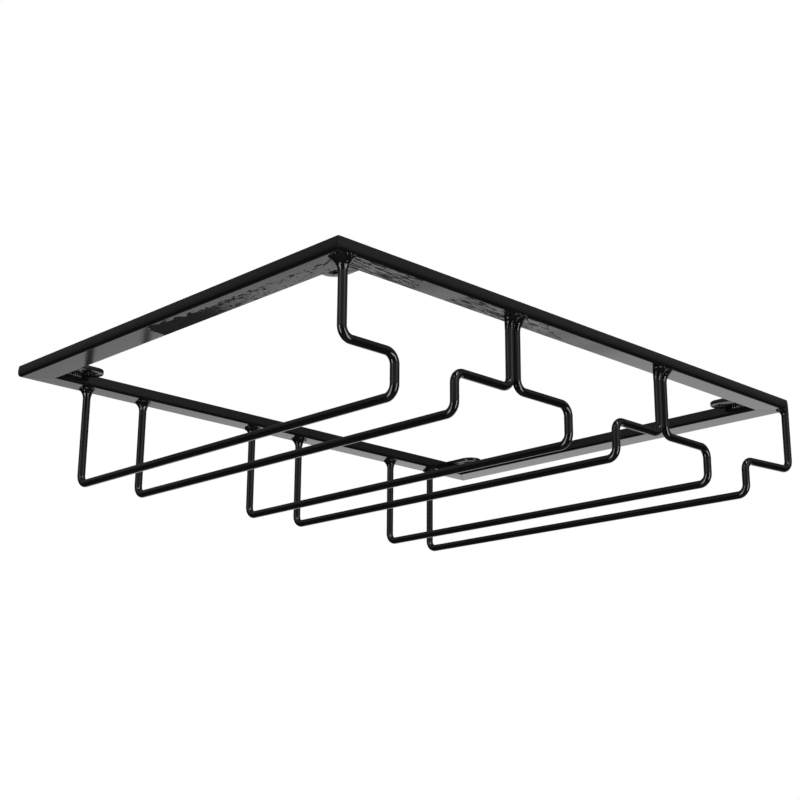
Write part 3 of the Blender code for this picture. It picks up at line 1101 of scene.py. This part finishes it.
@dataclass
class Studio:
    """The camera, lamps, floor and white surround."""

    camera_place: tuple[float, float, float] = (-0.51160, -0.51642, -0.21979)
    heading: float = math.radians(44.041)
    climb: float = math.radians(16.171)
    roll: float = math.radians(0.395)
    focal_pixels: float = 1436.87
    image_pixels: float = 800.0
    sensor: float = 36.0
    clip: tuple[float, float] = (0.01, 100.0)
    floor_level: float = -1.25
    floor_size: float = 40.0
    floor_tone: float = 0.86
    floor_rough: float = 0.9
    floor_glow: float = 0.6
    backdrop_turn: float = math.radians(15.0)
    backdrop_edge: tuple[float, float] = (0.70, 0.95)
    backdrop_rise: Stops = ((-0.55, 0.0), (-0.42, 1.0), (-0.06, 1.0), (0.1, 0.0))
    walls: Stops = ((-1.0, 0.2), (-0.9, 0.22), (-0.7, 0.88), (-0.52, 0.88), (-0.32, 0.38), (-0.03, 0.14),
                    (0.3, 0.13), (0.7, 0.08), (1.0, 0.05))
    rise: Stops = ((-0.02, 0.0), (0.12, 0.25), (0.19, 0.45), (0.28, 0.65), (0.37, 1.0), (0.5, 1.0),
                   (0.7, 0.6), (0.9, 0.1))
    dark_parts: Stops = ((-1.0, 0.12), (-0.8, 0.05), (-0.5, 0.015), (0.0, 0.015), (0.8, 0.05), (1.0, 0.15))
    wall_strength: float = 1.4
    least_level: float = 0.0001
    lamp_aim: tuple[float, float, float] = (0.0, 0.0, -0.03)
    lamps: tuple[Lamp, ...] = (Lamp("softbox_left", 51.0, -13.0, 1.6, (0.6, 1.25), 15.0),
                               Lamp("softbox_right", -51.0, -13.0, 1.6, (0.6, 1.25), 15.0),
                               Lamp("strip_left", 30.0, 52.0, 1.3, (0.08, 0.5), 3.0),
                               Lamp("strip_right", -30.0, 52.0, 1.3, (0.08, 0.5), 3.0),
                               Lamp("overhead", 0.0, 85.0, 1.6, (0.8, 0.8), 5.0))

    def build(self) -> None:
        """Set up the shot."""
        self.place_camera()
        self.surround()
        self.floor()
        for lamp in self.lamps:
            self.hang(lamp)
        bpy.context.scene.view_settings.view_transform = "Standard"

    @staticmethod
    def direction(heading: float, climb: float) -> Vector:
        """The direction at a heading and a climb."""
        level = math.cos(climb)
        return Vector((math.sin(heading) * level, math.cos(heading) * level, math.sin(climb)))

    def place_camera(self) -> None:
        """Place the camera below the rack, looking up at its open front from the left."""
        look = self.direction(self.heading, self.climb)
        level = Vector((math.cos(self.heading), -math.sin(self.heading), 0.0))
        above = level.cross(look)
        right = math.cos(self.roll) * level + math.sin(self.roll) * above
        up = -math.sin(self.roll) * level + math.cos(self.roll) * above
        data = bpy.data.cameras.new("camera")
        data.sensor_width = self.sensor
        data.lens = self.focal_pixels / self.image_pixels * self.sensor
        data.clip_start, data.clip_end = self.clip
        camera = bpy.data.objects.new("camera", data)
        bpy.context.scene.collection.objects.link(camera)
        turn = Matrix((right, up, -look)).transposed().to_4x4()
        camera.matrix_world = Matrix.Translation(self.camera_place) @ turn
        bpy.context.scene.camera = camera

    def surround(self) -> None:
        """White to the camera. To the gloss, a white backdrop behind the rack in a dim room."""
        world = bpy.data.worlds.new("surround")
        bpy.context.scene.world = world
        world.use_nodes = True
        tree = world.node_tree
        direction = add(tree, "TexCoord", {})["Generated"]
        height = add(tree, "SeparateXYZ", {0: direction})["Z"]
        level = calc(tree, "SUBTRACT", 1.0, calc(tree, "MULTIPLY", height, height))
        level = calc(tree, "SQRT", calc(tree, "MAXIMUM", level, self.least_level))
        facing = self.towards(tree, direction, level, self.heading)
        ahead = self.towards(tree, direction, level, self.heading + self.backdrop_turn)
        backdrop = calc(tree, "MULTIPLY", span(tree, ahead, *self.backdrop_edge),
                        ramp(tree, height, self.backdrop_rise))
        lit = calc(tree, "MULTIPLY", ramp(tree, facing, self.walls), ramp(tree, height, self.rise))
        room = mix(tree, lit, ramp(tree, height, self.dark_parts), self.wall_strength)
        path = add(tree, "LightPath", {})
        unseen = mix(tree, path["Is Glossy Ray"], room, calc(tree, "MAXIMUM", room, backdrop))
        seen = calc(tree, "MAXIMUM", path["Is Camera Ray"], path["Is Transmission Ray"])
        background = tree.nodes["Background"].inputs
        background["Color"].default_value = (1.0, 1.0, 1.0, 1.0)
        feed(tree, mix(tree, seen, unseen, 1.0), background["Strength"])

    @staticmethod
    def towards(tree: Tree, direction: Socket, level: Socket, heading: float) -> Socket:
        """How squarely a direction points to a heading, seen from above.

        Args:
            tree: The world's nodes.
            direction: The direction.
            level: The length of its level part.
            heading: The heading.

        Returns:
            The cosine of the turn between them.
        """
        compass = (math.sin(heading), math.cos(heading), 0.0)
        dot = add(tree, "VectorMath", {0: direction, 1: compass}, operation="DOT_PRODUCT")["Value"]
        return calc(tree, "DIVIDE", dot, level)

    def floor(self) -> None:
        """A pale floor far below the rack, that glows a little for the camera alone."""
        floor = new_piece("floor", bpy.ops.mesh.primitive_plane_add, size=self.floor_size,
                          location=way(2, self.floor_level))
        material = bpy.data.materials.new("pale_floor")
        material.use_nodes = True
        tree = material.node_tree
        shader = tree.nodes["Principled BSDF"].inputs
        shader["Base Color"].default_value = (self.floor_tone, self.floor_tone, self.floor_tone, 1.0)
        shader["Roughness"].default_value = self.floor_rough
        shader["Emission Strength"].default_value = self.floor_glow
        feed(tree, add(tree, "LightPath", {})["Is Camera Ray"], shader["Emission Color"])
        floor.data.materials.append(material)
        floor.visible_glossy = False

    def hang(self, lamp: Lamp) -> None:
        """Hang one lamp, aimed at the rack.

        Args:
            lamp: The lamp.
        """
        away = self.direction(self.heading + math.radians(180.0 + lamp.turn), math.radians(lamp.climb))
        data = bpy.data.lights.new(lamp.name, "AREA")
        data.shape = "RECTANGLE"
        data.size, data.size_y = lamp.size
        data.energy = lamp.power
        hung = bpy.data.objects.new(lamp.name, data)
        bpy.context.scene.collection.objects.link(hung)
        hung.location = Vector(self.lamp_aim) + away * lamp.distance
        hung.rotation_euler = away.to_track_quat("Z", "Y").to_euler()


def scale_patches() -> tuple[ScalePatch, ScalePatch]:
    """Where mill scale shows under the paint: streaks on the front bar and a flaked patch on the left one.

    Returns:
        The front bar's patch and the left bar's.
    """
    paint_skin = 0.05 * MM
    front_low, front_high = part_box("front_bar")
    left_low, left_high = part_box("left_bar")
    underside = front_low.z + paint_skin
    front = ScalePatch(
        run=Run.ACROSS, inner_line=front_high.y, outer_line=front_low.y, underside=underside,
        shares=((-165.0 * MM, 1.3), (-118.0 * MM, 1.3), (-111.0 * MM, 0.0), (-93.0 * MM, 0.0),
                (-86.0 * MM, 1.3), (-42.0 * MM, 1.3), (-30.0 * MM, 0.5), (0.0 * MM, 0.0)),
        density=((-165.0 * MM, 0.85), (-118.0 * MM, 0.65), (-86.0 * MM, 0.7), (-42.0 * MM, 0.6),
                 (-30.0 * MM, 0.1), (0.0 * MM, 0.0)),
        flake=0.9 * MM, stretch=0.14, depth=90.0 * MICRON, fill=0.0, rough=0.7)
    left = ScalePatch(
        run=Run.TO_THE_BACK, inner_line=left_high.x, outer_line=left_low.x, underside=underside,
        shares=((-120.0 * MM, 0.6), (-100.0 * MM, 0.55), (-60.0 * MM, 0.6), (-30.0 * MM, 0.66),
                (-10.0 * MM, 0.76), (8.0 * MM, 0.9), (13.0 * MM, 0.7), (14.0 * MM, -0.3)),
        density=((-120.0 * MM, -1.6), (-104.0 * MM, -1.2), (-96.0 * MM, -0.5), (-75.0 * MM, 0.0),
                 (-50.0 * MM, 0.3), (-34.0 * MM, 0.6), (-20.0 * MM, 0.95), (14.0 * MM, 1.0)),
        flake=0.8 * MM, stretch=0.3, depth=110.0 * MICRON, fill=1.0, rough=0.95)
    return front, left


def main() -> None:
    """Load the frame, dress each sub-assembly and set up the shot."""
    logging.basicConfig(level=logging.INFO, format="%(name)s %(message)s")
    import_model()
    effects = EffectLibrary()
    front_scale, left_scale = scale_patches()
    worn = {"front_bar": replace(BAR_PAINT, name="front_bar_gloss", scale=front_scale, ior=1.55),
            "left_bar": replace(BAR_PAINT, name="left_bar_gloss", scale=left_scale, ior=1.42)}
    FrameBars(BAR_PAINT.material(effects), BAR_PAINT.slot,
              {node: paint.material(effects) for node, paint in worn.items()}).build()
    for assembly, paint in ((RailWires, WIRE_PAINT), (ScrewTabs, TAB_PAINT), (WeldBeads, BEAD_PAINT),
                            (FilletBeads, FILLET_PAINT)):
        assembly(paint.material(effects), paint.slot).build()
    Studio().build()


if __name__ == "__main__":
    main()
